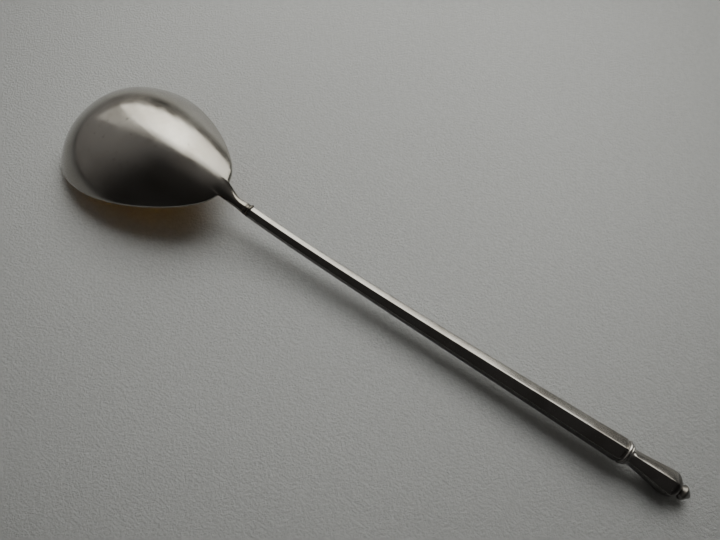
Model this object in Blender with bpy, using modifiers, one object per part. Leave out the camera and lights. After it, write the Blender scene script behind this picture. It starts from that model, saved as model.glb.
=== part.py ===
"""Small silver coffee spoon with a six-sided handle and a turned-style finial.

The spoon lies bowl down, resting on the tip of its rim and on the end of its finial.
+X runs from the bowl's tip to the end of the handle, +Y is across, +Z is up. The origin
is on the table under the middle of the overall length. All values are in metres.
"""
import math

import bmesh
import bpy
from mathutils import Matrix, Vector

MM = 0.001

# Overall size, and the clearance between two pieces that solder together
LENGTH = 140.0 * MM
GAP = 0.2 * MM

# Bowl: an egg-shaped outline, broader towards the tip, whose rim plane rises from the tip
BOWL_LENGTH = 43.3 * MM
BOWL_WIDTH = 29.1 * MM
BOWL_DEPTH = 8.8 * MM
BOWL_TILT = math.radians(12.4)
BOWL_WALL = 0.9 * MM
BOWL_EGG = 0.277  # how much broader the tip half is than the heel half
BOWL_CROWN = 0.41  # place of the deepest point, from the tip, as a share of the length
BOWL_ROUND = 0.66  # 1 gives a plain paraboloid, 0 a flat-topped one with steep walls
BOWL_SHEER = 0.7 * MM  # rise of the rim's middle above its two ends

# Neck: drawn out of the bowl's heel in one piece with it
NECK_ROOT_HALF_WIDTH = 1.75 * MM
NECK_ROOT_RING = 0.94  # where the neck's back starts, as a share of the way to the rim
NECK_WAIST_STATION = 45.2 * MM  # stations are measured along X from the bowl's tip
NECK_WAIST_RADIUS = 1.08 * MM
NECK_END_STATION = 46.6 * MM
NECK_END_RADIUS = 1.16 * MM
TANG_RADIUS = 0.55 * MM
TANG_LENGTH = 3.2 * MM

# Neck collar: a six-sided ferrule whose back rises to a small crest
COLLAR_LENGTH = 1.1 * MM
COLLAR_FRONT_RADIUS = 1.22 * MM
COLLAR_REAR_RADIUS = 1.30 * MM
COLLAR_CREST = 0.40 * MM
COLLAR_GROOVE = 0.06 * MM  # depth of the groove below the collar's plain front part

# Handle line: its height falls fast behind the heel and then runs nearly level
HANDLE_END_HEIGHT = 3.65 * MM
HANDLE_DROP = 2.8 * MM
HANDLE_DROP_STATION = 48.0 * MM
HANDLE_DROP_REACH = 17.0 * MM

# Stem: a solid six-sided bar, one edge up, that thickens towards the finial
STEM_FRONT_RADIUS = 1.25 * MM
STEM_REAR_RADIUS = 2.30 * MM
STEM_SWELL = 0.52  # share of the thickening that grows with the square of the distance
STEM_SECTIONS = 30

# Ring collar: a round moulding of a bead and a fillet, between stem and finial
RING_LENGTH = 0.9 * MM
RING_RADIUS = 2.2 * MM
RING_BEAD = 0.58 * MM  # length of the bead, on the stem's side
RING_FILLET = 0.27 * MM  # length of the fillet, on the finial's side

# Finial: a six-sided baluster, widest close to its rounded end
FINIAL_START = RING_LENGTH / 2 + GAP
FINIAL_WIDEST = 8.6 * MM
FINIAL_RADIUS = 2.40 * MM
FINIAL_END = 10.25 * MM
FINIAL_REACH = 12.6 * MM  # from the ring's middle to the end of the button
FINIAL_NECK_RADIUS = 0.85 * MM
# Outline as shares: (from widest to end, of the widest radius), then (from start to widest)
FINIAL_SHOULDER = [(0.92, 0.62), (0.74, 0.80), (0.45, 0.93), (0.0, 1.0)]
FINIAL_BODY = [(0.86, 0.97), (0.56, 0.83), (0.26, 0.69), (0.0, 0.625)]
PEG_RADIUS = 0.8 * MM
PEG_LENGTH = 2.2 * MM
BUTTON_RADIUS = 1.38 * MM
BUTTON_TIP_RADIUS = 0.4 * MM
BUTTON_PEG_RADIUS = 0.35 * MM
BUTTON_PEG_LENGTH = 1.2 * MM

COLLECTION = "silver_coffee_spoon"
SIDES = 6


def clear_scene():
    for item in list(bpy.data.objects):
        bpy.data.objects.remove(item, do_unlink=True)


def make_collection():
    collection = bpy.data.collections.new(COLLECTION)
    bpy.context.scene.collection.children.link(collection)
    return collection


def metal(name, colour, roughness):
    material = bpy.data.materials.new(name)
    material.use_nodes = True
    shader = material.node_tree.nodes["Principled BSDF"]
    shader.inputs["Base Color"].default_value = (*colour, 1.0)
    shader.inputs["Metallic"].default_value = 1.0
    shader.inputs["Roughness"].default_value = roughness
    return material


def add_object(name, mesh, material, collection):
    piece = bpy.data.objects.new(name, mesh)
    mesh.materials.append(material)
    collection.objects.link(piece)
    return piece


def skin(bm, rings, close_start=True, close_end=True, joined=False):
    """Covers a row of equal rings with quads, and caps its two ends."""
    rows = [[bm.verts.new(point) for point in ring] for ring in rings]
    count = len(rows[0])
    pairs = list(zip(rows, rows[1:]))
    if joined:
        pairs.append((rows[-1], rows[0]))
    for near, far in pairs:
        for i in range(count):
            j = (i + 1) % count
            bm.faces.new((near[i], near[j], far[j], far[i]))
    if close_start:
        bm.faces.new(rows[0])
    if close_end:
        bm.faces.new(rows[-1])


def mesh_from(bm, name):
    bmesh.ops.remove_doubles(bm, verts=bm.verts, dist=1e-6)
    bmesh.ops.recalc_face_normals(bm, faces=bm.faces)
    mesh = bpy.data.meshes.new(name)
    bm.to_mesh(mesh)
    bm.free()
    return mesh


# ---- Handle line -------------------------------------------------------------------------

def finial_tilt():
    """The dip that sets the finial's lowest edge on the table."""
    reach = math.hypot(FINIAL_WIDEST, FINIAL_RADIUS)
    return math.asin(HANDLE_END_HEIGHT / reach) - math.atan2(FINIAL_RADIUS, FINIAL_WIDEST)


def ring_station():
    return LENGTH - FINIAL_REACH * math.cos(finial_tilt())


def handle_height(station):
    fall = math.exp(-(station - HANDLE_DROP_STATION) / HANDLE_DROP_REACH)
    return HANDLE_END_HEIGHT + HANDLE_DROP * fall


def handle_dip(station):
    """Angle of the handle line below the horizontal."""
    fall = math.exp(-(station - HANDLE_DROP_STATION) / HANDLE_DROP_REACH)
    return math.atan(HANDLE_DROP / HANDLE_DROP_REACH * fall)


def handle_point(station):
    return Vector((station - LENGTH / 2, 0.0, handle_height(station)))


def line_way(dip):
    return Vector((math.cos(dip), 0.0, -math.sin(dip)))


def section_up(dip):
    return Vector((math.sin(dip), 0.0, math.cos(dip)))


def hexagon(centre, dip, radius, crest=0.0, edge_steps=(1, 1, 1, 1, 1, 1)):
    """A six-sided section with one corner up, square to a line that dips by dip.

    It starts at the upper corner on the -Y side and runs over the top. A crest makes the
    three upper corners stand out further than the lower ones.
    """
    up = section_up(dip)
    corners = []
    for angle in (150, 90, 30, -30, -90, -150):
        reach = radius + (crest if angle > 0 else 0.0)
        across = reach * math.cos(math.radians(angle))
        above = reach * math.sin(math.radians(angle))
        corners.append(centre + Vector((0.0, across, 0.0)) + up * above)
    points = []
    for i, steps in enumerate(edge_steps):
        start = corners[i]
        end = corners[(i + 1) % SIDES]
        points += [start.lerp(end, step / steps) for step in range(steps)]
    return points


# ---- Bowl and neck -----------------------------------------------------------------------

def tip_slope():
    """Steepness of the bowl's back where it meets the rim at the tip."""
    fall = (2 * BOWL_ROUND + 4 * (1 - BOWL_ROUND)) * BOWL_DEPTH
    return math.atan(fall / (BOWL_CROWN * BOWL_LENGTH)) + BOWL_TILT


def bowl_to_part(along, across, above):
    """From the rim plane's own axes to the part's, with the rounded rim on the table."""
    slope = tip_slope()
    inset = BOWL_WALL / 2 * (1 - math.sin(slope))
    lift = BOWL_WALL / 2 * (1 + math.cos(slope))
    x = along * math.cos(BOWL_TILT) - above * math.sin(BOWL_TILT)
    z = along * math.sin(BOWL_TILT) + above * math.cos(BOWL_TILT)
    return Vector((x + inset - LENGTH / 2, across, z + lift))


def half_width(angle):
    egg = (1 + BOWL_EGG * math.cos(angle)) / (1 + 0.3 * BOWL_EGG ** 2)
    return BOWL_WIDTH / 2 * math.sin(angle) * egg


def back_point(ring, angle):
    """A point on the bowl's back: ring 0 is the crown, ring 1 the rim, angle 0 the tip."""
    share = BOWL_CROWN + (0.5 - 0.5 * math.cos(angle) - BOWL_CROWN) * ring
    dome = BOWL_DEPTH * (1 - BOWL_ROUND * ring ** 2 - (1 - BOWL_ROUND) * ring ** 4)
    sheer = BOWL_SHEER * 4 * share * (1 - share) * ring ** 2
    return bowl_to_part(share * BOWL_LENGTH, half_width(angle) * ring, dome + sheer)


def back_frame(ring, angle):
    """The outward normal, the way to the rim and the way round, at a point on the back."""
    step = 1e-3
    inner = max(ring, step)
    outwards = back_point(inner + step, angle) - back_point(inner - step, angle)
    around = back_point(inner, angle + step) - back_point(inner, angle - step)
    normal = outwards.cross(around).normalized()
    if normal.z < 0:
        normal = -normal
    down = outwards - outwards.project(around)
    return normal, down.normalized(), around.normalized()


def lip_point(turn, angle):
    """A point on the rounded rim: turn 0 is at the back, turn pi at the hollow."""
    normal, down, _ = back_frame(1.0, angle)
    centre = back_point(1.0, angle) - normal * (BOWL_WALL / 2)
    return centre + (normal * math.cos(turn) + down * math.sin(turn)) * (BOWL_WALL / 2)


def hollow_point(ring, angle):
    crown_normal = bowl_to_part(0.0, 0.0, 1.0) - bowl_to_part(0.0, 0.0, 0.0)
    normal = back_frame(ring, angle)[0] if ring > 0 else crown_normal
    return back_point(ring, angle) - normal * BOWL_WALL


def bowl_angles(heel_steps, side_steps):
    """Angles round the bowl from the tip, with even steps across the neck's root."""
    root = math.asin(NECK_ROOT_HALF_WIDTH / (BOWL_WIDTH / 2 * (1 - BOWL_EGG)))
    side = [(math.pi - root) * i / side_steps for i in range(side_steps)]
    heel = [math.pi - root + root * i / heel_steps for i in range(heel_steps)]
    half = side + heel
    return half + [math.pi] + [2 * math.pi - angle for angle in reversed(half[1:])]


def hermite(start, start_ways, end, end_ways, steps):
    """Rings along smooth lines that leave and reach two rings in the given ways."""
    rings = []
    for step in range(steps + 1):
        t = step / steps
        a = 2 * t ** 3 - 3 * t ** 2 + 1
        b = t ** 3 - 2 * t ** 2 + t
        c = -2 * t ** 3 + 3 * t ** 2
        d = t ** 3 - t ** 2
        rings.append([p * a + v * b + q * c + w * d
                      for p, v, q, w in zip(start, start_ways, end, end_ways)])
    return rings


def build_bowl(collection, material):
    heel_steps = 3
    angles = bowl_angles(heel_steps, side_steps=20)
    middle = len(angles) // 2
    first = middle - heel_steps
    last = middle + heel_steps
    root_rings = [NECK_ROOT_RING, (1 + NECK_ROOT_RING) / 2]
    outer = [0.0, 0.1, 0.22, 0.34, 0.46, 0.58, 0.69, 0.79, 0.87] + root_rings + [1.0]
    lip = [math.pi / 6 * i for i in range(1, 6)]
    rows = [[back_point(ring, angle) for angle in angles] for ring in outer]
    rows += [[lip_point(turn, angle) for angle in angles] for turn in lip]
    rows += [[hollow_point(ring, angle) for angle in angles] for ring in reversed(outer)]
    top_row = outer.index(NECK_ROOT_RING)
    rim_row = len(outer) - 1
    low_row = rim_row + 3

    bm = bmesh.new()
    grid = [[bm.verts.new(point) for point in row] for row in rows]
    count = len(angles)
    for i in range(len(grid) - 1):
        for j in range(count):
            if top_row <= i < low_row and first <= j < last:
                continue
            k = (j + 1) % count
            corners = (grid[i][j], grid[i][k], grid[i + 1][k], grid[i + 1][j])
            bm.faces.new(corners)
    bmesh.ops.remove_doubles(bm, verts=bm.verts, dist=1e-7)

    side_rows = range(top_row, low_row + 1)
    over = [rows[top_row][j] for j in range(last, first, -1)]
    right = [rows[i][first] for i in side_rows][:-1]
    under = [rows[low_row][j] for j in range(first, last)]
    left = [rows[i][last] for i in side_rows][:0:-1]
    root = over + right + under + left

    heel = angles[middle]
    back_way = back_frame(NECK_ROOT_RING, heel)[1] * 4.0 * MM
    rim_way = Vector((math.cos(BOWL_TILT), 0.0, math.sin(BOWL_TILT))) * 1.0 * MM
    side_way = Vector((1.2 * MM, 0.7 * MM, -0.6 * MM))
    ways = [back_way] * len(over)
    ways += [side_way * Vector((1.0, -1.0, 1.0))] * len(right)
    ways += [rim_way] * len(under)
    ways += [side_way] * len(left)

    edge_steps = (heel_steps, heel_steps, len(right), heel_steps, heel_steps, len(left))
    waist_dip = handle_dip(NECK_WAIST_STATION)
    waist = hexagon(handle_point(NECK_WAIST_STATION), waist_dip, NECK_WAIST_RADIUS,
                    edge_steps=edge_steps)
    waist_ways = [line_way(waist_dip) * 3.0 * MM] * len(root)
    rings = hermite(root, ways, waist, waist_ways, steps=8)

    end_dip = handle_dip(NECK_END_STATION)
    end_point = handle_point(NECK_END_STATION)
    tang_end = end_point + line_way(end_dip) * TANG_LENGTH
    rings.append(hexagon(end_point, end_dip, NECK_END_RADIUS, edge_steps=edge_steps))
    rings.append(hexagon(end_point, end_dip, TANG_RADIUS, edge_steps=edge_steps))
    rings.append(hexagon(tang_end, end_dip, TANG_RADIUS, edge_steps=edge_steps))
    skin(bm, rings, close_start=False)
    return add_object("bowl", mesh_from(bm, "bowl"), material, collection)


# ---- Neck collar and stem ----------------------------------------------------------------

def build_neck_collar(collection, material):
    dip = handle_dip(NECK_END_STATION)
    way = line_way(dip)
    front = handle_point(NECK_END_STATION) + way * GAP
    rear = front + way * COLLAR_LENGTH
    bore = TANG_RADIUS + GAP
    proud = COLLAR_FRONT_RADIUS + COLLAR_GROOVE
    sunk = COLLAR_FRONT_RADIUS - COLLAR_GROOVE
    rings = [hexagon(front, dip, COLLAR_FRONT_RADIUS),
             hexagon(front.lerp(rear, 0.30), dip, proud),
             hexagon(front.lerp(rear, 0.42), dip, sunk),
             hexagon(front.lerp(rear, 0.54), dip, proud),
             hexagon(front.lerp(rear, 0.88), dip, COLLAR_REAR_RADIUS, COLLAR_CREST),
             hexagon(rear, dip, COLLAR_REAR_RADIUS - COLLAR_GROOVE, COLLAR_CREST * 0.7),
             hexagon(rear, dip, bore),
             hexagon(front, dip, bore)]
    bm = bmesh.new()
    skin(bm, rings, close_start=False, close_end=False, joined=True)
    add_object("neck_collar", mesh_from(bm, "neck_collar"), material, collection)


def stem_start():
    dip = handle_dip(NECK_END_STATION)
    return NECK_END_STATION + (COLLAR_LENGTH + 2 * GAP) * math.cos(dip)


def stem_end():
    return ring_station() - (RING_LENGTH / 2 + GAP) * math.cos(finial_tilt())


def build_stem(collection, material):
    front_dip = handle_dip(NECK_END_STATION)
    front_way = line_way(front_dip)
    front = handle_point(NECK_END_STATION) + front_way * (COLLAR_LENGTH + 2 * GAP)
    front_bore = TANG_RADIUS + GAP
    depth = TANG_LENGTH - COLLAR_LENGTH - GAP
    rings = [hexagon(front + front_way * depth, front_dip, front_bore),
             hexagon(front, front_dip, front_bore),
             hexagon(front, front_dip, STEM_FRONT_RADIUS)]
    start = stem_start()
    end = stem_end()
    for i in range(1, STEM_SECTIONS):
        share = (i / STEM_SECTIONS) ** 1.6
        station = start + (end - start) * share
        grown = (1 - STEM_SWELL) * share + STEM_SWELL * share ** 2
        radius = STEM_FRONT_RADIUS + (STEM_REAR_RADIUS - STEM_FRONT_RADIUS) * grown
        rings.append(hexagon(handle_point(station), handle_dip(station), radius))
    rear_dip = finial_tilt()
    rear_way = line_way(rear_dip)
    rear = handle_point(ring_station()) - rear_way * (RING_LENGTH / 2 + GAP)
    rear_bore = PEG_RADIUS + GAP
    rings += [hexagon(rear, rear_dip, STEM_REAR_RADIUS),
              hexagon(rear, rear_dip, rear_bore),
              hexagon(rear - rear_way * (PEG_LENGTH + GAP), rear_dip, rear_bore)]
    bm = bmesh.new()
    skin(bm, rings)
    add_object("stem", mesh_from(bm, "stem"), material, collection)


# ---- Turned pieces at the handle's end ---------------------------------------------------

def turned(name, profile, sides, material, collection):
    """Turns a profile of (distance beyond the ring's middle, radius) about the finial's axis.

    The profile's own axis is Z, and its first corner points up once it is laid down.
    """
    bm = bmesh.new()
    verts = [bm.verts.new((radius, 0.0, distance)) for distance, radius in profile]
    for a, b in zip(verts, verts[1:]):
        bm.edges.new((a, b))
    if profile[0][1] > 0:
        bm.edges.new((verts[-1], verts[0]))
    mesh = bpy.data.meshes.new(name)
    bm.to_mesh(mesh)
    bm.free()
    piece = add_object(name, mesh, material, collection)
    spin = piece.modifiers.new("turn", "SCREW")
    spin.axis = "Z"
    spin.steps = sides
    spin.render_steps = sides
    spin.use_merge_vertices = True
    spin.merge_threshold = 1e-6
    spin.use_smooth_shade = sides > SIDES
    tilt = finial_tilt()
    along = line_way(tilt)
    up = section_up(tilt)
    axes = Matrix((up, along.cross(up), along)).transposed().to_4x4()
    piece.matrix_world = Matrix.Translation(handle_point(ring_station())) @ axes
    return piece


def build_ring_collar(collection, material):
    half = RING_LENGTH / 2
    bore = PEG_RADIUS + GAP
    bead_middle = -half + RING_BEAD / 2
    outline = [(half, bore),
               (half, RING_RADIUS * 0.88),
               (half - 0.2 * RING_FILLET, RING_RADIUS * 0.93),
               (half - 0.8 * RING_FILLET, RING_RADIUS * 0.93),
               (half - RING_FILLET, RING_RADIUS * 0.88)]
    for i in range(7):
        turn = math.pi * i / 6
        outline.append((bead_middle + RING_BEAD / 2 * math.cos(turn),
                        RING_RADIUS * (0.86 + 0.14 * math.sin(turn))))
    outline.append((-half, bore))
    turned("ring_collar", outline, 32, material, collection)


def build_finial(collection, material):
    socket = BUTTON_PEG_RADIUS + GAP
    peg_end = FINIAL_START - RING_LENGTH - GAP - GAP - PEG_LENGTH
    depth = BUTTON_PEG_LENGTH
    outline = [(FINIAL_END - depth, 0.0),
               (FINIAL_END - depth, socket),
               (FINIAL_END, socket),
               (FINIAL_END, FINIAL_NECK_RADIUS)]
    outline += [(FINIAL_WIDEST + (FINIAL_END - FINIAL_WIDEST) * along, FINIAL_RADIUS * across)
                for along, across in FINIAL_SHOULDER]
    outline += [(FINIAL_START + (FINIAL_WIDEST - FINIAL_START) * along, FINIAL_RADIUS * across)
                for along, across in FINIAL_BODY]
    outline += [(FINIAL_START, PEG_RADIUS),
                (peg_end, PEG_RADIUS),
                (peg_end, 0.0)]
    turned("finial", outline, SIDES, material, collection)


def build_button(collection, material):
    start = FINIAL_END + GAP
    length = FINIAL_REACH - start
    belly = start + 0.34 * length
    outline = [(FINIAL_REACH, 0.0),
               (FINIAL_REACH - 0.1 * BUTTON_TIP_RADIUS, 0.55 * BUTTON_TIP_RADIUS),
               (FINIAL_REACH - 0.5 * BUTTON_TIP_RADIUS, BUTTON_TIP_RADIUS),
               (belly + 0.08 * length, 0.95 * BUTTON_RADIUS),
               (belly, BUTTON_RADIUS),
               (belly - 0.08 * length, 0.95 * BUTTON_RADIUS),
               (start, FINIAL_NECK_RADIUS),
               (start, BUTTON_PEG_RADIUS),
               (start - BUTTON_PEG_LENGTH, BUTTON_PEG_RADIUS),
               (start - BUTTON_PEG_LENGTH, 0.0)]
    turned("finial_button", outline, 24, material, collection)


def build():
    clear_scene()
    collection = make_collection()
    satin = metal("satin_silver", (0.62, 0.60, 0.57), 0.34)
    bright = metal("polished_silver", (0.66, 0.65, 0.63), 0.2)
    build_bowl(collection, satin)
    build_neck_collar(collection, bright)
    build_stem(collection, bright)
    build_ring_collar(collection, bright)
    build_finial(collection, bright)
    build_button(collection, bright)


build()
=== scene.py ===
"""Looks of a small silver coffee spoon that lies bowl down on a pale table.

Each CAD piece is stood for by a finer one of the same shape and place. The CAD's lines
are repeated here at a higher resolution, with softened edges and without the solder gaps.
All values are in metres, in the CAD's own frame: +X runs from the bowl to the button.
"""
import math

import bmesh
import bpy
from mathutils import Matrix, Vector


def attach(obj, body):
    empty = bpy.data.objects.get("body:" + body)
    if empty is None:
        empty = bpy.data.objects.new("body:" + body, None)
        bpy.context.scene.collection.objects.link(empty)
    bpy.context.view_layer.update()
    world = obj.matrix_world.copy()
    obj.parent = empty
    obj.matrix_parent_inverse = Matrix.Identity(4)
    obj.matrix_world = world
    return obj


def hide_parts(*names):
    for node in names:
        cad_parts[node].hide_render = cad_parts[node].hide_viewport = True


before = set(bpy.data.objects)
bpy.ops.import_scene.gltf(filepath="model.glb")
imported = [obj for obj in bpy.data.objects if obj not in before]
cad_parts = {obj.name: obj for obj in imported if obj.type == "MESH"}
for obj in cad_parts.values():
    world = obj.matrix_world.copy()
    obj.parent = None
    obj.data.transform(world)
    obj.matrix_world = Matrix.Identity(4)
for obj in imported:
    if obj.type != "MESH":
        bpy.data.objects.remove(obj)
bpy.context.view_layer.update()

MM = 0.001

# ---- The CAD's own dimensions --------------------------------------------------------

LENGTH = 140.0 * MM
GAP = 0.2 * MM

BOWL_LENGTH = 43.3 * MM
BOWL_WIDTH = 29.1 * MM
BOWL_DEPTH = 8.8 * MM
BOWL_TILT = math.radians(12.4)
BOWL_WALL = 0.9 * MM
BOWL_EGG = 0.277
BOWL_CROWN = 0.41
BOWL_ROUND = 0.66
BOWL_SHEER = 0.7 * MM

NECK_ROOT_HALF_WIDTH = 1.75 * MM
NECK_ROOT_RING = 0.94
NECK_WAIST_STATION = 45.2 * MM
NECK_WAIST_RADIUS = 1.08 * MM
NECK_END_STATION = 46.6 * MM
NECK_END_RADIUS = 1.16 * MM

COLLAR_LENGTH = 1.1 * MM
COLLAR_FRONT_RADIUS = 1.22 * MM
COLLAR_REAR_RADIUS = 1.30 * MM
COLLAR_CREST = 0.40 * MM
COLLAR_GROOVE = 0.06 * MM

HANDLE_END_HEIGHT = 3.65 * MM
HANDLE_DROP = 2.8 * MM
HANDLE_DROP_STATION = 48.0 * MM
HANDLE_DROP_REACH = 17.0 * MM

STEM_FRONT_RADIUS = 1.25 * MM
STEM_REAR_RADIUS = 2.30 * MM
STEM_SWELL = 0.52

RING_LENGTH = 0.9 * MM
RING_RADIUS = 2.2 * MM
RING_BEAD = 0.58 * MM
RING_FILLET = 0.27 * MM

FINIAL_WIDEST = 8.6 * MM
FINIAL_RADIUS = 2.40 * MM
FINIAL_END = 10.25 * MM
FINIAL_REACH = 12.6 * MM
FINIAL_NECK_RADIUS = 0.85 * MM
BUTTON_RADIUS = 1.38 * MM
BUTTON_TIP_RADIUS = 0.4 * MM

# ---- Finish of the edges and facets --------------------------------------------------

STEM_EDGE = 0.16 * MM  # radius of the worn long edges, at the stem's rear end
STEM_EDGE_FRONT = 0.65  # share of that radius at the stem's front end
FACET_CROWN = 0.008 * MM  # how far the middle of a facet stands out
STEM_SHOULDER = 0.14 * MM  # how far before the ring the stem begins to round off
SHOULDER_FALL = 0.05  # share of the radius that the stem loses there
STEM_SECTIONS = 320

SIDE_GRADING = 1.35  # above 1, the bowl's mesh is finer towards the neck
SIDE_STEPS = 112  # mesh steps round one side of the bowl
HEEL_STEPS = 9  # mesh steps over half of the neck's root
DOME_RINGS = 44  # mesh rings from the crown to the neck's root
EDGE_RINGS = 4  # and from there to the rim
LIP_STEPS = 12  # mesh steps round the lip
GILT_FROM = 3  # the gilding starts this many lip steps before the hollow

NECK_SIDE_PULL = 0.5 * MM  # how strongly the neck's sides draw in at the root
NECK_BACK_REACH = 4.0 * MM  # how far the bowl's back runs on into the neck
NECK_RIM_REACH = 1.4 * MM  # how far the rim does
NECK_WAIST_REACH = 3.6 * MM  # how far the waist's own line runs back
NECK_EDGE = 0.3 * MM  # radius of the neck's six edges at the waist
NECK_END_EDGE = 0.2 * MM  # and at the collar
NECK_STEPS = 26  # mesh steps from the neck's root to its waist
WAIST_STEPS = 8  # and from there to the collar
# Each smoothing has a radius and a number of passes.
ROOT_SMOOTHING = (2.8 * MM, 40)
NECK_SMOOTHING = (3.0 * MM, 50)
WAIST_SMOOTHING = (2.0 * MM, 16)

COLLAR_EDGE = 0.3 * MM
COLLAR_ROUNDNESS = 0.35  # 1 would make its outline a circle
COLLAR_CROWN = 0.01 * MM

FINIAL_EDGE = 0.16 * MM  # radius of the finial's six edges
FINIAL_RING_EDGE = 0.2 * MM  # what it gains where the finial leaves the ring
FINIAL_END_EDGE = 0.25 * MM  # and where it draws in to the button
FINIAL_CROWN = 0.03 * MM
FINIAL_STEPS = 90  # mesh steps along the finial

SAME_PLACE = 1e-7  # vertices closer together than this are one


# ---- Mesh helpers --------------------------------------------------------------------

def finished(bm, name, materials, node, sharp=None):
    """Makes the piece that stands for a CAD node, with smooth shading."""
    bmesh.ops.remove_doubles(bm, verts=bm.verts, dist=SAME_PLACE)
    bmesh.ops.recalc_face_normals(bm, faces=bm.faces)
    mesh = bpy.data.meshes.new(name)
    bm.to_mesh(mesh)
    bm.free()
    for material in materials:
        mesh.materials.append(material)
    mesh.polygons.foreach_set("use_smooth", [True] * len(mesh.polygons))
    if sharp:
        mesh.set_sharp_from_angle(angle=math.radians(sharp))
    piece = bpy.data.objects.new(name, mesh)
    bpy.context.scene.collection.objects.link(piece)
    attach(piece, "root")
    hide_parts(node)


def skin(bm, rings, close_start=True):
    """Covers a row of equal closed rings with quads, and caps one end or both."""
    rows = [[bm.verts.new(point) for point in ring] for ring in rings]
    count = len(rows[0])
    for near, far in zip(rows, rows[1:]):
        for i in range(count):
            j = (i + 1) % count
            bm.faces.new((near[i], near[j], far[j], far[i]))
    if close_start:
        bm.faces.new(rows[0])
    bm.faces.new(rows[-1])


def smoothstep(low, high, value):
    share = min(1.0, max(0.0, (value - low) / (high - low)))
    return share * share * (3 - 2 * share)


# ---- Handle line, as in the CAD ------------------------------------------------------

def finial_tilt():
    reach = math.hypot(FINIAL_WIDEST, FINIAL_RADIUS)
    return math.asin(HANDLE_END_HEIGHT / reach) - math.atan2(FINIAL_RADIUS, FINIAL_WIDEST)


def ring_station():
    return LENGTH - FINIAL_REACH * math.cos(finial_tilt())


def handle_height(station):
    fall = math.exp(-(station - HANDLE_DROP_STATION) / HANDLE_DROP_REACH)
    return HANDLE_END_HEIGHT + HANDLE_DROP * fall


def handle_dip(station):
    fall = math.exp(-(station - HANDLE_DROP_STATION) / HANDLE_DROP_REACH)
    return math.atan(HANDLE_DROP / HANDLE_DROP_REACH * fall)


def handle_point(station):
    return Vector((station - LENGTH / 2, 0.0, handle_height(station)))


def line_way(dip):
    return Vector((math.cos(dip), 0.0, -math.sin(dip)))


def section_up(dip):
    return Vector((math.sin(dip), 0.0, math.cos(dip)))


HEX_CORNERS = (150, 90, 30, -30, -90, -150)
HALF_CORNER = 30  # a corner's edge turns by this much each way, in degrees
CORNER_STEPS = 5  # mesh steps round each corner
FACET_POINTS = 5  # and points between two corners


def soft_hexagon(centre, dip, radius, edge, crest=0.0, roundness=0.0, crown=0.0):
    """A six-sided section, one corner up, with rounded corners and slightly full facets.

    It starts on the upper corner of the -Y side. Crest lifts the three upper corners, and
    roundness 1 makes the section a circle.
    """
    def on_edge(corner, turn):
        lift = crest if corner > 0 else 0.0
        reach = radius + lift - edge / math.cos(math.radians(HALF_CORNER))
        return (reach * math.cos(math.radians(corner))
                + edge * math.cos(math.radians(turn)),
                reach * math.sin(math.radians(corner))
                + edge * math.sin(math.radians(turn)))

    points = []
    for i, corner in enumerate(HEX_CORNERS):
        for step in range(CORNER_STEPS + 1):
            turn = corner + HALF_CORNER - 2 * HALF_CORNER * step / CORNER_STEPS
            points.append(on_edge(corner, turn))
        facing = corner - HALF_CORNER
        start = points[-1]
        end = on_edge(HEX_CORNERS[(i + 1) % 6], facing)
        for step in range(1, FACET_POINTS + 1):
            t = step / (FACET_POINTS + 1)
            bulge = crown * 4 * t * (1 - t)
            points.append((start[0] + (end[0] - start[0]) * t
                           + bulge * math.cos(math.radians(facing)),
                           start[1] + (end[1] - start[1]) * t
                           + bulge * math.sin(math.radians(facing))))

    up = section_up(dip)
    circle = (radius + radius * math.cos(math.radians(HALF_CORNER))) / 2
    ring = []
    for across, above in points:
        scale = 1 + (circle / math.hypot(across, above) - 1) * roundness
        ring.append(centre + Vector((0.0, across * scale, 0.0)) + up * (above * scale))
    return ring


# ---- Bowl and neck, as in the CAD ----------------------------------------------------

def tip_slope():
    fall = (2 * BOWL_ROUND + 4 * (1 - BOWL_ROUND)) * BOWL_DEPTH
    return math.atan(fall / (BOWL_CROWN * BOWL_LENGTH)) + BOWL_TILT


def bowl_to_part(along, across, above):
    slope = tip_slope()
    inset = BOWL_WALL / 2 * (1 - math.sin(slope))
    lift = BOWL_WALL / 2 * (1 + math.cos(slope))
    x = along * math.cos(BOWL_TILT) - above * math.sin(BOWL_TILT)
    z = along * math.sin(BOWL_TILT) + above * math.cos(BOWL_TILT)
    return Vector((x + inset - LENGTH / 2, across, z + lift))


def half_width(angle):
    egg = (1 + BOWL_EGG * math.cos(angle)) / (1 + 0.3 * BOWL_EGG ** 2)
    return BOWL_WIDTH / 2 * math.sin(angle) * egg


def back_point(ring, angle):
    """A point on the back: ring 0 is the crown, ring 1 the rim, angle 0 the tip."""
    share = BOWL_CROWN + (0.5 - 0.5 * math.cos(angle) - BOWL_CROWN) * ring
    dome = BOWL_DEPTH * (1 - BOWL_ROUND * ring ** 2 - (1 - BOWL_ROUND) * ring ** 4)
    sheer = BOWL_SHEER * 4 * share * (1 - share) * ring ** 2
    return bowl_to_part(share * BOWL_LENGTH, half_width(angle) * ring, dome + sheer)


def back_frame(ring, angle):
    """The outward normal and the way to the rim, at a point on the back."""
    step = 1e-3
    inner = max(ring, step)
    outwards = back_point(inner + step, angle) - back_point(inner - step, angle)
    around = back_point(inner, angle + step) - back_point(inner, angle - step)
    normal = outwards.cross(around).normalized()
    if normal.z < 0:
        normal = -normal
    down = outwards - outwards.project(around)
    return normal, down.normalized()


def lip_point(turn, angle):
    normal, down = back_frame(1.0, angle)
    centre = back_point(1.0, angle) - normal * (BOWL_WALL / 2)
    return centre + (normal * math.cos(turn) + down * math.sin(turn)) * (BOWL_WALL / 2)


def hollow_point(ring, angle):
    crown_normal = bowl_to_part(0.0, 0.0, 1.0) - bowl_to_part(0.0, 0.0, 0.0)
    normal = back_frame(ring, angle)[0] if ring > 0 else crown_normal
    return back_point(ring, angle) - normal * BOWL_WALL


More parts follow.
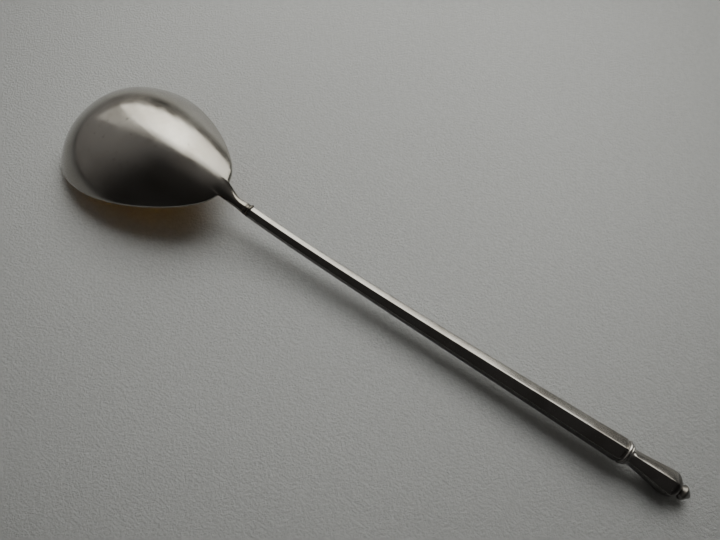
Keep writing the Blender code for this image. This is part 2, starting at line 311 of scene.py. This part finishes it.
def bowl_angles():
    """Places round the bowl: closer together towards the neck, and even at its root."""
    root = math.asin(NECK_ROOT_HALF_WIDTH / (BOWL_WIDTH / 2 * (1 - BOWL_EGG)))
    side = [(math.pi - root) * (1 - (1 - i / SIDE_STEPS) ** SIDE_GRADING)
            for i in range(SIDE_STEPS)]
    heel = [math.pi - root + root * i / HEEL_STEPS for i in range(HEEL_STEPS)]
    half = side + heel
    return half + [math.pi] + [2 * math.pi - angle for angle in reversed(half[1:])]


def hermite(start, start_ways, end, end_ways, steps):
    """Rings between two outlines that leave and reach them in the given directions."""
    rings = []
    for step in range(steps + 1):
        t = step / steps
        a = 2 * t ** 3 - 3 * t ** 2 + 1
        b = t ** 3 - 2 * t ** 2 + t
        c = -2 * t ** 3 + 3 * t ** 2
        d = t ** 3 - t ** 2
        rings.append([p * a + v * b + q * c + w * d
                      for p, v, q, w in zip(start, start_ways, end, end_ways)])
    return rings


def even_ring(ring, counts):
    """Picks points on an outline of six sides: counts[i] from side i to the next."""
    per_side = len(ring) // len(counts)
    points = []
    for i, count in enumerate(counts):
        for step in range(count):
            place = i * per_side + per_side * step / count
            low = int(place)
            points.append(ring[low].lerp(ring[(low + 1) % len(ring)], place - low))
    return points


def smooth_out(bm, middle, reach, passes):
    """Draws each vertex near the middle towards its neighbours, less further out."""
    near = []
    for v in bm.verts:
        away = (v.co - middle).length
        if away < reach:
            weight = 1 - smoothstep(0.15 * reach, reach, away)
            near.append((v, [e.other_vert(v) for e in v.link_edges], 0.5 * weight))
    for _ in range(passes):
        moved = []
        for v, others, weight in near:
            average = sum((other.co for other in others), Vector()) / len(others)
            moved.append(v.co.lerp(average, weight))
        for (v, _, _), place in zip(near, moved):
            v.co = place


def build_shell(bm, rows, gap_rows, gap_columns, gilt_row):
    """The bowl's double wall from its rows of points, left open where the neck grows."""
    grid = [[bm.verts.new(point) for point in row] for row in rows]
    count = len(rows[0])
    for i in range(len(grid) - 1):
        for j in range(count):
            if i in gap_rows and j in gap_columns:
                continue
            k = (j + 1) % count
            face = bm.faces.new((grid[i][j], grid[i][k], grid[i + 1][k], grid[i + 1][j]))
            face.material_index = 1 if i >= gilt_row else 0


def neck_ways(over_angles, side_count, under_count):
    """How the neck leaves each point of its root: over, right side, under, left side."""
    over = [back_frame(NECK_ROOT_RING, angle)[1] * NECK_BACK_REACH
            for angle in over_angles]
    rim = Vector((math.cos(BOWL_TILT), 0.0, math.sin(BOWL_TILT))) * NECK_RIM_REACH
    right = []
    left = []
    for i in range(side_count):
        t = i / side_count
        way = over[-1].lerp(rim, t)
        inwards = Vector((0.0, 4 * t * (1 - t) * NECK_SIDE_PULL, 0.0))
        right.append(way - inwards)
        left.append(way * Vector((1.0, -1.0, 1.0)) + inwards)
    return over + right + [rim] * under_count + left[::-1]


def neck_rings(root, ways, counts):
    """The neck's outlines from its root to its waist, and on to the collar."""
    def section(station, radius, edge, further=0.0):
        dip = handle_dip(station)
        middle = handle_point(station) + line_way(dip) * further
        return even_ring(soft_hexagon(middle, dip, radius, edge), counts)

    waist = section(NECK_WAIST_STATION, NECK_WAIST_RADIUS, NECK_EDGE)
    waist_way = line_way(handle_dip(NECK_WAIST_STATION)) * NECK_WAIST_REACH
    rings = hermite(root, ways, waist, [waist_way] * len(root), NECK_STEPS)
    for step in range(1, WAIST_STEPS + 1):
        t = step / WAIST_STEPS
        rings.append(section(
            NECK_WAIST_STATION + (NECK_END_STATION - NECK_WAIST_STATION) * t,
            NECK_WAIST_RADIUS + (NECK_END_RADIUS - NECK_WAIST_RADIUS) * t,
            NECK_EDGE + (NECK_END_EDGE - NECK_EDGE) * t))
    rings.append(section(NECK_END_STATION, NECK_END_RADIUS, NECK_END_EDGE, GAP * 1.5))
    return rings


def build_bowl(outside, inside):
    angles = bowl_angles()
    outer = [NECK_ROOT_RING * i / DOME_RINGS for i in range(DOME_RINGS)]
    outer += [NECK_ROOT_RING + (1 - NECK_ROOT_RING) * i / EDGE_RINGS
              for i in range(EDGE_RINGS + 1)]
    lip = [math.pi * i / LIP_STEPS for i in range(1, LIP_STEPS)]
    rows = [[back_point(ring, angle) for angle in angles] for ring in outer]
    rows += [[lip_point(turn, angle) for angle in angles] for turn in lip]
    rows += [[hollow_point(ring, angle) for angle in angles] for ring in reversed(outer)]

    # The neck grows from rows top to low, which are on the back and on half the lip, and
    # from columns first to last. The gilding starts at row gilt.
    top = DOME_RINGS
    rim = len(outer) - 1
    low = rim + LIP_STEPS // 2
    first = len(angles) // 2 - HEEL_STEPS
    last = first + 2 * HEEL_STEPS
    gilt = rim + LIP_STEPS - GILT_FROM
    bm = bmesh.new()
    build_shell(bm, rows, range(top, low), range(first, last), gilt)

    over = [rows[top][j] for j in range(last, first, -1)]
    right = [rows[i][first] for i in range(top, low)]
    under = [rows[low][j] for j in range(first, last)]
    left = [rows[i][last] for i in range(low, top, -1)]
    root = over + right + under + left
    ways = neck_ways([angles[j] for j in range(last, first, -1)], len(right), len(under))
    counts = (HEEL_STEPS, HEEL_STEPS, len(right), HEEL_STEPS, HEEL_STEPS, len(left))
    skin(bm, neck_rings(root, ways, counts), close_start=False)
    bmesh.ops.delete(bm, geom=[v for v in bm.verts if not v.link_faces], context="VERTS")
    bmesh.ops.remove_doubles(bm, verts=bm.verts, dist=SAME_PLACE)

    # The creases at the neck's root, along the neck and at its waist are worked smooth.
    waist = handle_point(NECK_WAIST_STATION)
    heart = sum(root, Vector()) / len(root)
    for side in (right, left):
        smooth_out(bm, sum(side, Vector()) / len(side), *ROOT_SMOOTHING)
    smooth_out(bm, heart.lerp(waist, 0.5), *NECK_SMOOTHING)
    smooth_out(bm, waist, *WAIST_SMOOTHING)
    finished(bm, "bowl_and_neck", [outside, inside], "bowl")


# ---- Neck collar and stem ------------------------------------------------------------

def build_neck_collar(material):
    dip = handle_dip(NECK_END_STATION)
    way = line_way(dip)
    front = handle_point(NECK_END_STATION)
    length = COLLAR_LENGTH + 2 * GAP
    bead = 1.6 * COLLAR_GROOVE
    # Each profile point: place along the collar, radius, share of the crest.
    profile = [(0.0, NECK_END_RADIUS * 0.96, 0.0)]
    bead_starts = (0.02, 0.30)
    width = 0.24
    for start in bead_starts:
        for turn in range(0, 181, 20):
            t = 0.5 - 0.5 * math.cos(math.radians(turn))
            profile.append((start + width * t,
                            COLLAR_FRONT_RADIUS - 0.5 * bead
                            + bead * math.sin(math.radians(turn)), 0.0))
    # The crest's band, which stands up from its two edges.
    for t, swell, crest in ((0.58, 0.2, 0.20), (0.64, 0.7, 0.62), (0.70, 1.0, 0.90),
                            (0.76, 1.0, 1.00), (0.82, 1.0, 0.94), (0.88, 0.8, 0.70),
                            (0.94, 0.4, 0.35), (0.98, -0.2, 0.10)):
        profile.append((t, COLLAR_REAR_RADIUS - 0.06 * MM * (1 - swell), crest))
    profile.append((1.0, STEM_FRONT_RADIUS * 0.9, 0.0))
    rings = []
    for place, radius, crest in profile:
        centre = front + way * (length * place)
        rings.append(soft_hexagon(centre, dip, radius, COLLAR_EDGE, COLLAR_CREST * crest,
                                  COLLAR_ROUNDNESS, COLLAR_CROWN))
    bm = bmesh.new()
    skin(bm, rings)
    finished(bm, "neck_collar_worn", [material], "neck_collar",
             sharp=50)


def stem_start():
    dip = handle_dip(NECK_END_STATION)
    return NECK_END_STATION + (COLLAR_LENGTH + 2 * GAP) * math.cos(dip)


def stem_end():
    return ring_station() - (RING_LENGTH / 2 + GAP) * math.cos(finial_tilt())


def build_stem(material):
    start = stem_start()
    end = stem_end()
    rings = []
    shares = [i / STEM_SECTIONS for i in range(STEM_SECTIONS)]
    shoulder_steps = 5
    shares += [1 - (STEM_SHOULDER / (end - start)) * (1 - i / shoulder_steps)
               for i in range(shoulder_steps + 1)]
    for share in shares:
        station = start + (end - start) * share
        dip = handle_dip(station)
        grown = (1 - STEM_SWELL) * share + STEM_SWELL * share ** 2
        radius = STEM_FRONT_RADIUS + (STEM_REAR_RADIUS - STEM_FRONT_RADIUS) * grown
        wear = STEM_EDGE_FRONT + (1 - STEM_EDGE_FRONT) * share
        turned = max(0.0, 1 - (end - station) / STEM_SHOULDER) ** 2
        crown = FACET_CROWN * (0.4 + share)
        rings.append(soft_hexagon(handle_point(station), dip,
                                  radius * (1 - SHOULDER_FALL * turned),
                                  STEM_EDGE * wear, crown=crown))
    rear_dip = finial_tilt()
    way = line_way(rear_dip)
    rear = handle_point(ring_station()) - way * (RING_LENGTH / 2)
    rings.append(soft_hexagon(rear, rear_dip, STEM_REAR_RADIUS * 0.90, STEM_EDGE))
    bm = bmesh.new()
    skin(bm, rings)
    finished(bm, "stem_six_sided", [material], "stem", sharp=50)


# ---- Turned pieces at the handle's end -----------------------------------------------

def laid_down():
    """From a profile's own axes (up, side, along) to the part's own."""
    tilt = finial_tilt()
    along = line_way(tilt)
    up = section_up(tilt)
    axes = Matrix((up, along.cross(up), along)).transposed().to_4x4()
    return Matrix.Translation(handle_point(ring_station())) @ axes


def build_turned(name, profile, material, node, sides=96, sharp=40):
    place = laid_down()
    rings = []
    for distance, radius in profile:
        ring = []
        for i in range(sides):
            turn = 2 * math.pi * i / sides
            ring.append(place @ Vector((radius * math.cos(turn), radius * math.sin(turn),
                                        distance)))
        rings.append(ring)
    bm = bmesh.new()
    skin(bm, rings)
    finished(bm, name, [material], node, sharp=sharp)


def arc(centre, radii, start, end, steps):
    """Points of (distance, radius) round an elliptical arc, angles from the axis."""
    points = []
    for i in range(steps + 1):
        turn = math.radians(start + (end - start) * i / steps)
        points.append((centre[0] + radii[0] * math.cos(turn),
                       centre[1] + radii[1] * math.sin(turn)))
    return points


def build_ring_collar(material):
    half = RING_LENGTH / 2
    bead_middle = -half + RING_BEAD / 2
    full = RING_RADIUS * 1.01
    low = RING_RADIUS * 0.86
    profile = [(-half - GAP * 0.5, low * 0.94), (-half - GAP * 0.5, low)]
    profile += arc((bead_middle, low), (RING_BEAD / 2, full - low), 180, 0, 16)
    fillet = half - RING_FILLET / 2
    crest = RING_RADIUS * 0.93
    profile += arc((fillet, low), (RING_FILLET / 2, crest - low), 180, 0, 10)
    profile += [(half + GAP, low), (half + GAP, FINIAL_RADIUS * 0.5)]
    build_turned("ring_collar_worn", profile, material, "ring_collar")


def spline(points, place):
    """A smooth curve through (place, value) points, read at a place between them."""
    last = len(points) - 1
    for i in range(last):
        if place <= points[i + 1][0]:
            break
    (x0, y0), (x1, y1) = points[i], points[i + 1]
    before = points[max(i - 1, 0)]
    after = points[min(i + 2, last)]
    width = x1 - x0
    slope0 = (y1 - before[1]) / (x1 - before[0])
    slope1 = (after[1] - y0) / (after[0] - x0)
    t = (place - x0) / width
    return (y0 * (2 * t ** 3 - 3 * t ** 2 + 1)
            + slope0 * width * (t ** 3 - 2 * t ** 2 + t)
            + y1 * (3 * t ** 2 - 2 * t ** 3)
            + slope1 * width * (t ** 3 - t ** 2))


def build_finial(material):
    start = RING_LENGTH / 2 + GAP * 0.5
    body = FINIAL_WIDEST - start
    shoulder = FINIAL_END - FINIAL_WIDEST
    outline = [(start, FINIAL_RADIUS * 0.625),
               (start + 0.26 * body, FINIAL_RADIUS * 0.69),
               (start + 0.56 * body, FINIAL_RADIUS * 0.83),
               (start + 0.86 * body, FINIAL_RADIUS * 0.97),
               (FINIAL_WIDEST, FINIAL_RADIUS),
               (FINIAL_WIDEST + 0.45 * shoulder, FINIAL_RADIUS * 0.93),
               (FINIAL_WIDEST + 0.74 * shoulder, FINIAL_RADIUS * 0.80),
               (FINIAL_WIDEST + 0.92 * shoulder, FINIAL_RADIUS * 0.62),
               (FINIAL_END, FINIAL_NECK_RADIUS)]
    tilt = finial_tilt()
    middle = handle_point(ring_station())
    way = line_way(tilt)
    rings = []
    for i in range(FINIAL_STEPS + 1):
        share = i / FINIAL_STEPS
        place = start + (FINIAL_END - start) * (1 - (1 - share) ** 1.35)
        radius = spline(outline, place)
        near_ring = 1 - smoothstep(start, start + 0.12 * body, place)
        near_end = smoothstep(FINIAL_WIDEST + 0.15 * shoulder,
                              FINIAL_WIDEST + 0.85 * shoulder, place)
        edge = FINIAL_EDGE + FINIAL_END_EDGE * near_end + FINIAL_RING_EDGE * near_ring
        rings.append(soft_hexagon(middle + way * place, tilt, radius, edge,
                                  roundness=max(near_end, near_ring),
                                  crown=FINIAL_CROWN))
    bm = bmesh.new()
    skin(bm, rings)
    finished(bm, "finial_faceted", [material], "finial", sharp=60)


def build_button(material):
    start = FINIAL_END - GAP * 0.5
    true_start = FINIAL_END + GAP
    length = FINIAL_REACH - true_start
    belly = true_start + 0.34 * length
    tip = BUTTON_TIP_RADIUS
    profile = [(start, FINIAL_NECK_RADIUS * 0.92),
               (FINIAL_END + GAP * 0.5, FINIAL_NECK_RADIUS * 0.86),
               (true_start, FINIAL_NECK_RADIUS)]
    profile += [(true_start + (belly - 0.1 * length - true_start) * t,
                 FINIAL_NECK_RADIUS + (0.93 * BUTTON_RADIUS - FINIAL_NECK_RADIUS) * t)
                for t in (0.3, 0.6, 0.9)]
    profile += arc((belly, BUTTON_RADIUS - 0.12 * MM), (0.10 * length, 0.12 * MM),
                   140, 40, 8)
    low = (belly + 0.12 * length, BUTTON_RADIUS * 0.93)
    high = (FINIAL_REACH - 0.45 * tip, tip)
    profile += [(low[0] + (high[0] - low[0]) * t, low[1] + (high[1] - low[1]) * t)
                for t in (0.1, 0.35, 0.6, 0.85, 0.96)]
    profile += arc((FINIAL_REACH - tip * 0.65, 0.0), (tip * 0.62, tip * 0.95), 76, 2, 8)
    build_turned("finial_button_worn", profile, material, "finial_button", sides=64,
                 sharp=35)


# ---- Materials -----------------------------------------------------------------------

class Nodes:
    """Short names for building one material's node tree."""

    def __init__(self, name):
        self.material = bpy.data.materials.new(name)
        self.material.use_nodes = True
        self.tree = self.material.node_tree
        self.shader = self.tree.nodes["Principled BSDF"]
        self.coordinates = self.add("ShaderNodeTexCoord")
        self.place = self.coordinates.outputs["Object"]

    def add(self, kind, **values):
        node = self.tree.nodes.new(kind)
        for key, value in values.items():
            setattr(node, key, value)
        return node

    def link(self, source, target):
        self.tree.links.new(source, target)

    def part(self, vector, axis):
        node = self.add("ShaderNodeSeparateXYZ")
        self.link(vector, node.inputs[0])
        return node.outputs[axis]

    def stretched(self, scale, turn):
        node = self.add("ShaderNodeMapping")
        node.inputs["Scale"].default_value = scale
        node.inputs["Rotation"].default_value = turn
        self.link(self.place, node.inputs["Vector"])
        return node.outputs["Vector"]

    def noise(self, scale, detail=4.0, rough=0.5, vector=None, distortion=0.0):
        node = self.add("ShaderNodeTexNoise")
        node.inputs["Scale"].default_value = scale
        node.inputs["Detail"].default_value = detail
        node.inputs["Roughness"].default_value = rough
        node.inputs["Distortion"].default_value = distortion
        self.link(vector if vector is not None else self.place, node.inputs["Vector"])
        return node.outputs["Fac"]

    def ramp(self, value, low, high, out_low=0.0, out_high=1.0):
        node = self.add("ShaderNodeMapRange")
        node.interpolation_type = "SMOOTHSTEP"
        self.link(value, node.inputs["Value"])
        for name, number in (("From Min", low), ("From Max", high),
                             ("To Min", out_low), ("To Max", out_high)):
            node.inputs[name].default_value = number
        return node.outputs["Result"]

    def math(self, operation, a, b):
        node = self.add("ShaderNodeMath", operation=operation)
        for socket, value in zip(node.inputs, (a, b)):
            if isinstance(value, float):
                socket.default_value = value
            else:
                self.link(value, socket)
        return node.outputs[0]

    def mix(self, share, low, high):
        node = self.add("ShaderNodeMix", data_type="RGBA")
        self.link(share, node.inputs["Factor"])
        for socket, value in ((node.inputs[6], low), (node.inputs[7], high)):
            if isinstance(value, tuple):
                socket.default_value = (*value, 1.0)
            else:
                self.link(value, socket)
        return node.outputs[2]

    def bump(self, height, depth, normal=None):
        node = self.add("ShaderNodeBump")
        node.inputs["Distance"].default_value = depth
        node.inputs["Strength"].default_value = 1.0
        self.link(height, node.inputs["Height"])
        if normal is not None:
            self.link(normal, node.inputs["Normal"])
        return node.outputs["Normal"]


PAINTED_SHADE_SHARE = 0.42  # share of the toned colour kept where shade is painted on the sides and underside
DARK_DULL = 0.14  # how much rougher the dark sides are
SIDE_SHADE_HEIGHTS = (0.80, 0.97)  # heights of the normal between which the painted shade on the sides fades out

# Clean and toned are colours. Dull and smooth are the roughest and smoothest patches.
# Scratch and uneven are depths of the bumps, and the scales are the patterns' own.
# Two pairs of values, heights of the normal and places along X, say where the painted
# shade lies: see silver.
SATIN = dict(clean=(0.52, 0.505, 0.48), toned=(0.42, 0.395, 0.36), dull=0.21,
             smooth=0.13, scratch=0.0003 * MM, tone_scale=75.0, scratch_scale=330.0,
             grain=2600.0, uneven=0.010 * MM, shade_fade=(-0.05, 0.24),
             darker=(-28.0 * MM, -25.0 * MM), side_shade=0.38)
BRIGHT = dict(clean=(0.53, 0.52, 0.505), toned=(0.42, 0.40, 0.38), dull=0.17,
              smooth=0.15, scratch=0.00005 * MM, tone_scale=160.0, scratch_scale=420.0,
              grain=1500.0, uneven=0.0008 * MM, shade_fade=(0.40, 0.72),
              darker=(65.8 * MM, 67.2 * MM), speck=0.93, scratch_dull=0.015)
TONED = dict(BRIGHT, clean=(0.24, 0.225, 0.205), toned=(0.15, 0.14, 0.125), dull=0.26,
             smooth=0.20, tone_scale=600.0)
GILT = dict(clean=(0.95, 0.61, 0.15), toned=(0.83, 0.47, 0.09), dull=0.36,
            smooth=0.26, scratch=0.004 * MM, tone_scale=60.0, scratch_scale=80.0,
            grain=2600.0, uneven=0.012 * MM, shade_fade=(-2.0, -1.5), darker=(1.0, 2.0))


def silver(name, clean, toned, dull, smooth, scratch, tone_scale, scratch_scale, grain,
           uneven, shade_fade, darker, speck=0.72, scratch_dull=0.06, side_shade=0.0):
    """Old silver, finely scratched and toned in soft patches, with painted shade where it
    faces down.

    The painted shade fades out between two given heights of the surface's normal, and a
    given share of it reaches further up the sides. Between two given places along the
    spoon, it spreads up over the sides and then over the top.
    """
    n = Nodes(name)
    patches = n.noise(tone_scale, detail=5.0, rough=0.6, distortion=0.4)
    tone = n.ramp(patches, 0.36, 0.68)
    colour = n.mix(tone, clean, toned)
    specks = n.ramp(n.noise(tone_scale * 14, detail=3.0, rough=0.6), 0.62, 0.78)
    colour = n.mix(specks, colour, tuple(speck * c for c in toned))
    # Painted shade: the base colour darkens where the surface faces sideways or down, and
    # further up past a given place along X, where it would otherwise mirror the lit
    # table.
    facing = n.part(n.coordinates.outputs["Normal"], "Z")
    past = n.ramp(n.part(n.place, "X"), darker[0], darker[1], 0.0, 0.5)
    facing = n.math("SUBTRACT", facing, past)
    facing = n.math("ADD", facing, n.ramp(patches, 0.3, 0.7, -0.04, 0.04))
    dark = n.ramp(facing, shade_fade[0], shade_fade[1], 1.0, 0.0)
    shaded = n.math("MAXIMUM", dark, n.ramp(facing, *SIDE_SHADE_HEIGHTS, side_shade, 0.0))
    n.link(n.mix(shaded, colour, tuple(PAINTED_SHADE_SHARE * c for c in toned)),
           n.shader.inputs["Base Color"])

    turns = ((0.0, 0.0, 0.5), (0.3, 0.2, -0.7), (0.1, -0.4, 1.4), (0.2, 0.5, 2.3))
    scratches = None
    for i, turn in enumerate(turns):
        vector = n.stretched((1.0, 26.0 + 5.0 * i, 9.0), turn)
        lines = n.ramp(n.noise(scratch_scale * (1 + 0.23 * i), detail=2.0, rough=0.5,
                               vector=vector), 0.60, 0.72)
        scratches = lines if scratches is None else n.math("MAXIMUM", scratches, lines)
    breaks = n.ramp(n.noise(tone_scale * 5, detail=2.0), 0.42, 0.6)
    scratches = n.math("MULTIPLY", scratches, breaks)

    wear = n.ramp(n.noise(tone_scale * 2.3, detail=4.0), 0.3, 0.7, smooth, dull)
    wear = n.math("ADD", wear, n.math("MULTIPLY", dark, DARK_DULL))
    rough = n.math("ADD", wear, n.math("MULTIPLY", scratches, scratch_dull))
    n.link(rough, n.shader.inputs["Roughness"])
    n.shader.inputs["Metallic"].default_value = 1.0

    fine = n.bump(n.noise(grain, detail=3.0, rough=0.6), 0.25 * uneven)
    waves = n.bump(n.noise(tone_scale * 1.7, detail=1.0), uneven, fine)
    lines = n.bump(scratches, -scratch, waves)
    n.link(lines, n.shader.inputs["Normal"])
    return n.material


TABLE_PAINTED_POOL_CENTRE = (-0.025, 0.025, 0.0)
TABLE_COLOURS = ((0.545, 0.565, 0.56), (0.595, 0.615, 0.61))
# Painted light falloff: from and to these distances from the painted pool's brightest
# place, the table loses a share of colour.
TABLE_PAINTED_FALLOFF = ((40.0 * MM, 130.0 * MM, 0.34), (75.0 * MM, 220.0 * MM, 0.42))
TABLE_GRAIN = 0.31 * MM


def table_top():
    """Plain pale grey table covering with a faint grain, and a painted falloff of light
    that makes it a little darker further out.
    """
    n = Nodes("table_grey")
    mottle = n.noise(900.0, detail=3.0, rough=0.6)
    plain = n.mix(n.ramp(mottle, 0.3, 0.7), *TABLE_COLOURS)
    # Painted light: the colour darkens with distance from one place, as round a pool of
    # light.
    away = n.add("ShaderNodeVectorMath", operation="DISTANCE")
    n.link(n.place, away.inputs[0])
    away.inputs[1].default_value = TABLE_PAINTED_POOL_CENTRE
    near, far = (n.ramp(away.outputs["Value"], start, end, 0.0, loss)
                 for start, end, loss in TABLE_PAINTED_FALLOFF)
    n.link(n.mix(n.math("ADD", near, far), plain, (0.0, 0.0, 0.0)),
           n.shader.inputs["Base Color"])
    n.shader.inputs["Roughness"].default_value = 0.6
    n.link(n.bump(n.noise(1900.0, detail=4.0, rough=0.7), TABLE_GRAIN),
           n.shader.inputs["Normal"])
    return n.material


# ---- Table, lights and camera --------------------------------------------------------

TABLE_HALF = 0.9


def build_table():
    bm = bmesh.new()
    corners = [(x * TABLE_HALF, y * TABLE_HALF)
               for x, y in ((-1, -1), (1, -1), (1, 1), (-1, 1))]
    bm.faces.new([bm.verts.new((x, y, 0.0)) for x, y in corners])
    mesh = bpy.data.meshes.new("table")
    bm.to_mesh(mesh)
    bm.free()
    mesh.materials.append(table_top())
    table = bpy.data.objects.new("table", mesh)
    bpy.context.scene.collection.objects.link(table)


DAYLIGHT = (1.0, 0.985, 0.955)
WARM_DAYLIGHT = (1.0, 0.98, 0.88)
BOWL_MIDDLE = Vector((-0.047, 0.0, 0.010))


def area_light(name, size, radiance, place, outwards, colour, on_metal, on_table):
    """A rectangular soft light with its back to outwards."""
    data = bpy.data.lights.new(name, "AREA")
    data.shape = "RECTANGLE"
    data.size = size[0]
    data.size_y = size[1]
    data.energy = radiance * math.pi * size[0] * size[1]
    data.color = colour
    light = bpy.data.objects.new(name, data)
    light.location = place
    light.rotation_mode = "QUATERNION"
    light.rotation_quaternion = outwards.to_track_quat("Z", "Y")
    light.visible_camera = False
    light.visible_glossy = on_metal
    light.visible_diffuse = on_table
    bpy.context.scene.collection.objects.link(light)


def key_light(azimuth, elevation, distance, size, radiance):
    """The light that shades the table. Azimuth 90 is +Y, and 180 is -X."""
    a = math.radians(azimuth)
    e = math.radians(elevation)
    way = Vector((math.cos(a) * math.cos(e), math.sin(a) * math.cos(e), math.sin(e)))
    area_light("key", size, radiance, way * distance, way, DAYLIGHT, on_metal=False,
               on_table=True)


WINDOW_AZIMUTH = 108
WINDOW_DISTANCE = 1.0


def window(name, left, right, bottom, top, radiance):
    """An upright light for the metal: its edges are angles seen from the bowl."""
    a = math.radians(WINDOW_AZIMUTH)
    way = Vector((math.cos(a), math.sin(a), 0.0))
    side = Vector((-way.y, way.x, 0.0))
    reach = [WINDOW_DISTANCE * math.tan(math.radians(edge - WINDOW_AZIMUTH))
             for edge in (right, left)]
    height = [WINDOW_DISTANCE * math.tan(math.radians(edge)) for edge in (bottom, top)]
    place = (BOWL_MIDDLE + way * WINDOW_DISTANCE + side * (sum(reach) / 2)
             + Vector((0.0, 0.0, sum(height) / 2)))
    area_light(name, (reach[1] - reach[0], height[1] - height[0]), radiance, place, way,
               WARM_DAYLIGHT, on_metal=True, on_table=False)


ROOM_COLOUR = (1.0, 0.95, 0.89, 1.0)
ROOM_LEVEL = 0.024
# Each glow has a strength, an azimuth and an elevation, and the two cosines of the angle
# from there between which it grows.
ROOM_GLOWS = ((0.20, 185, 12, 0.5, 1.0), (0.085, 90, 60, 0.55, 0.95),
              (0.014, 0, 90, 0.55, 1.0))


def room(base, glows):
    """A dim room that grows lighter towards some sides, as the world's light."""
    world = bpy.data.worlds.new("room")
    world.use_nodes = True
    tree = world.node_tree
    place = tree.nodes.new("ShaderNodeTexCoord")
    total = None
    for glow, azimuth, elevation, low, high in glows:
        a = math.radians(azimuth)
        e = math.radians(elevation)
        facing = tree.nodes.new("ShaderNodeVectorMath")
        facing.operation = "DOT_PRODUCT"
        facing.inputs[1].default_value = (math.cos(a) * math.cos(e),
                                          math.sin(a) * math.cos(e), math.sin(e))
        level = tree.nodes.new("ShaderNodeMapRange")
        level.interpolation_type = "SMOOTHSTEP"
        least = 0.0 if total else base
        for name, number in (("From Min", low), ("From Max", high),
                             ("To Min", least), ("To Max", least + glow)):
            level.inputs[name].default_value = number
        tree.links.new(place.outputs["Generated"], facing.inputs[0])
        tree.links.new(facing.outputs["Value"], level.inputs["Value"])
        if total:
            added = tree.nodes.new("ShaderNodeMath")
            tree.links.new(total, added.inputs[0])
            tree.links.new(level.outputs["Result"], added.inputs[1])
            total = added.outputs[0]
        else:
            total = level.outputs["Result"]
    background = tree.nodes["Background"]
    background.inputs["Color"].default_value = ROOM_COLOUR
    tree.links.new(total, background.inputs["Strength"])
    bpy.context.scene.world = world


WINDOW_LEVEL = 6.0
# Each column of windows has a left and a right edge, how much its foot and its top are
# raised, and how bright it is.
WINDOW_COLUMNS = ((171, 155, 6, -2, 0.15), (155, 146, 6, -7, 0.80),
                  (146, 138, 4.5, -5, 1.1), (138, 130, 2.5, -4, 1.25),
                  (130, 121, 0.5, -2, 1.45), (121, 112, -3, -1, 1.40),
                  (112, 103, -6, -2, 1.15), (103, 93, -8, -2, 1.05),
                  (93, 84, -5, -3, 1.0), (84, 75, 0, -4, 0.95),
                  (75, 66, 6, -5, 0.95), (66, 58, 12, -6, 0.95))
# Each layer adds a share of the brightness between its foot and its top.
WINDOW_LAYERS = ((16, 56, 0.42), (16, 62, 0.26), (18, 69, 0.17), (21, 53, 0.15))


def build_lights():
    for i, (left, right, foot_up, top_up, level) in enumerate(WINDOW_COLUMNS):
        for j, (foot, top, share) in enumerate(WINDOW_LAYERS):
            window("window_%d_%d" % (i, j), left, right, foot + foot_up, top + top_up,
                   WINDOW_LEVEL * level * share)
    window("sill", left=126, right=40, bottom=-0.5, top=10, radiance=0.17)
    key_light(azimuth=102, elevation=52, distance=0.38, size=(0.29, 0.26),
              radiance=4.35)
    room(ROOM_LEVEL, ROOM_GLOWS)


CAMERA_PLACE = Vector((28.13, -36.01, 108.69)) * MM
CAMERA_DOWN = math.radians(65.94)
CAMERA_TURN = math.radians(34.15)
CAMERA_LENS = 30.1


def build_camera():
    data = bpy.data.cameras.new("camera")
    data.sensor_width = 36.0
    data.lens = CAMERA_LENS
    data.clip_start = 0.005
    camera = bpy.data.objects.new("camera", data)
    bpy.context.scene.collection.objects.link(camera)
    forward = Vector((-math.cos(CAMERA_DOWN) * math.sin(CAMERA_TURN),
                      math.cos(CAMERA_DOWN) * math.cos(CAMERA_TURN),
                      -math.sin(CAMERA_DOWN)))
    right = Vector((math.cos(CAMERA_TURN), math.sin(CAMERA_TURN), 0.0))
    up = right.cross(forward)
    axes = Matrix((right, up, -forward)).transposed().to_4x4()
    camera.matrix_world = Matrix.Translation(CAMERA_PLACE) @ axes
    bpy.context.scene.camera = camera


def build():
    satin = silver("satin_silver", **SATIN)
    bright = silver("polished_silver", **BRIGHT)
    toned = silver("toned_silver", **TONED)
    gilt = silver("gilt_silver", **GILT)
    build_bowl(satin, gilt)
    build_neck_collar(toned)
    build_stem(bright)
    build_ring_collar(bright)
    build_finial(bright)
    build_button(bright)
    build_table()
    build_lights()
    build_camera()


build()
